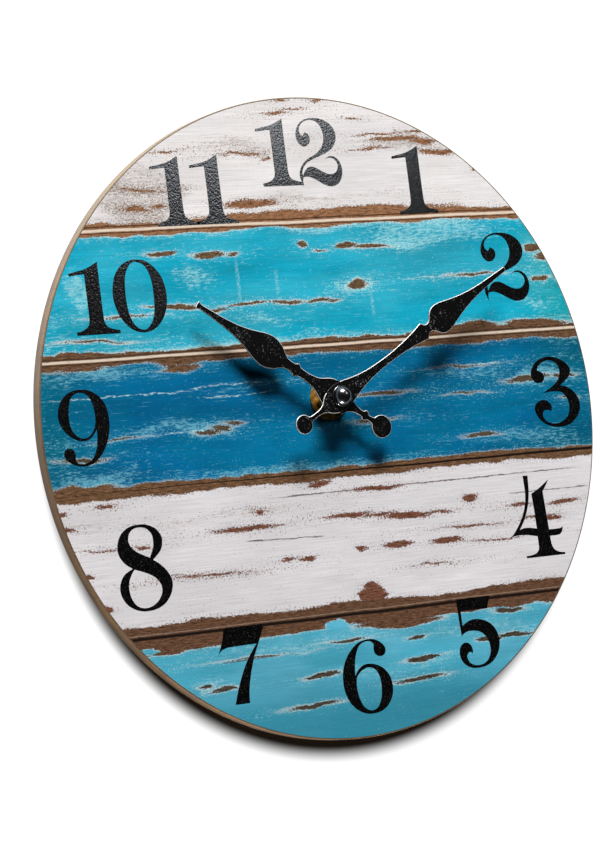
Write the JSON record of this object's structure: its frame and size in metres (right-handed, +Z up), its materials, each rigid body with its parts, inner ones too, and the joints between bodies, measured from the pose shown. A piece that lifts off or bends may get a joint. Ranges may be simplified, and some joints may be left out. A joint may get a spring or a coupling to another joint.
{
  "type": "outdoor wall clock",
  "caption": "Round printed wall clock with spade hands, driven by a battery quartz movement with a geared train, a clamped stem and a keyhole hanger.",
  "frame": {"origin": "on the hands' axis at the flat back of the movement, which is the wall plane", "axes": "+X right as seen from the front, +Y into the wall, +Z up; the dial faces -Y"},
  "size_m": [0.254, 0.038, 0.254],
  "materials": {
    "board": "printed planks on fibreboard",
    "rubber": "matt",
    "brass": "turned",
    "steel": "plated",
    "bright_steel": "polished",
    "hand_black": "black with bright edges",
    "case_plastic": "fine grain",
    "gear_plastic": "moulded",
    "magnet": "plated",
    "copper_wire": "enamelled",
    "circuit": "solder mask",
    "resin": "cured",
    "cell_sleeve": "printed sleeve"
  },
  "bodies": {
    "clock_frame": {"dial_board": "board", "rubber_washer": "rubber", "brass_washer": "brass", "hex_nut": "brass", "threaded_stem": "brass", "hanger_plate": "steel", "case_front": "case_plastic", "back_cover": "case_plastic", "train_plate": "gear_plastic", "rear_plate": "gear_plastic", "stator": "steel", "coil_core": "steel", "coil_bobbin": "gear_plastic", "coil_winding": "copper_wire", "circuit_board": "circuit", "chip_resin": "resin", "quartz_crystal": "bright_steel", "contact_positive": "steel", "contact_negative": "steel"},
    "minute_group": {"minute_hand": "hand_black", "cap_nut": "bright_steel", "minute_arbor": "steel", "clutch_spring": "brass"},
    "hour_group": {"hour_hand": "hand_black", "hour_wheel": "brass"},
    "motion_group": {"motion_wheel": "gear_plastic"},
    "setting_group": {"setting_knob": "case_plastic", "setting_pinion": "gear_plastic"},
    "rotor_group": {"rotor": "gear_plastic", "rotor_magnet": "magnet"},
    "fifth_group": {"fifth_wheel": "gear_plastic"},
    "fourth_group": {"fourth_wheel": "gear_plastic"},
    "third_group": {"third_wheel": "gear_plastic"},
    "centre_group": {"centre_wheel": "gear_plastic"},
    "battery_group": {"battery": "cell_sleeve"}
  },
  "joints": [
    {"name": "minute_turn", "type": "hinge", "parent": "clock_frame", "child": "minute_group", "pos_m": [0, 0, 0], "axis": [0, 1, 0], "continuous": true},
    {"name": "hour_turn", "type": "hinge", "parent": "clock_frame", "child": "hour_group", "pos_m": [0, 0, 0], "axis": [0, 1, 0], "continuous": true},
    {"name": "motion_turn", "type": "hinge", "parent": "clock_frame", "child": "motion_group", "pos_m": [-0.0096, 0, 0], "axis": [0, 1, 0], "continuous": true},
    {"name": "setting_turn", "type": "hinge", "parent": "clock_frame", "child": "setting_group", "pos_m": [-0.0192, 0, 0], "axis": [0, 1, 0], "continuous": true},
    {"name": "rotor_turn", "type": "hinge", "parent": "clock_frame", "child": "rotor_group", "pos_m": [0.01441, 0, 0.01167], "axis": [0, 1, 0], "continuous": true},
    {"name": "fifth_turn", "type": "hinge", "parent": "clock_frame", "child": "fifth_group", "pos_m": [0.00792, 0, 0.00792], "axis": [0, 1, 0], "continuous": true},
    {"name": "fourth_turn", "type": "hinge", "parent": "clock_frame", "child": "fourth_group", "pos_m": [0, 0, 0], "axis": [0, 1, 0], "continuous": true},
    {"name": "third_turn", "type": "hinge", "parent": "clock_frame", "child": "third_group", "pos_m": [-0.00764, 0, 0.00764], "axis": [0, 1, 0], "continuous": true},
    {"name": "centre_turn", "type": "hinge", "parent": "clock_frame", "child": "centre_group", "pos_m": [0, 0, 0], "axis": [0, 1, 0], "continuous": true},
    {"name": "battery_slide", "type": "slide", "parent": "clock_frame", "child": "battery_group", "axis": [0, 1, 0], "range_m": [0, 0.02]}
  ],
  "couplings": [
    {"joint": "hour_turn", "follows": "minute_turn", "ratio": 0.083333},
    {"joint": "motion_turn", "follows": "minute_turn", "ratio": -0.33333},
    {"joint": "setting_turn", "follows": "minute_turn", "ratio": 1},
    {"joint": "fifth_turn", "follows": "rotor_turn", "ratio": -0.2},
    {"joint": "fourth_turn", "follows": "rotor_turn", "ratio": 0.033333},
    {"joint": "third_turn", "follows": "rotor_turn", "ratio": -0.0044444},
    {"joint": "centre_turn", "follows": "rotor_turn", "ratio": 0.00055556}
  ]
}
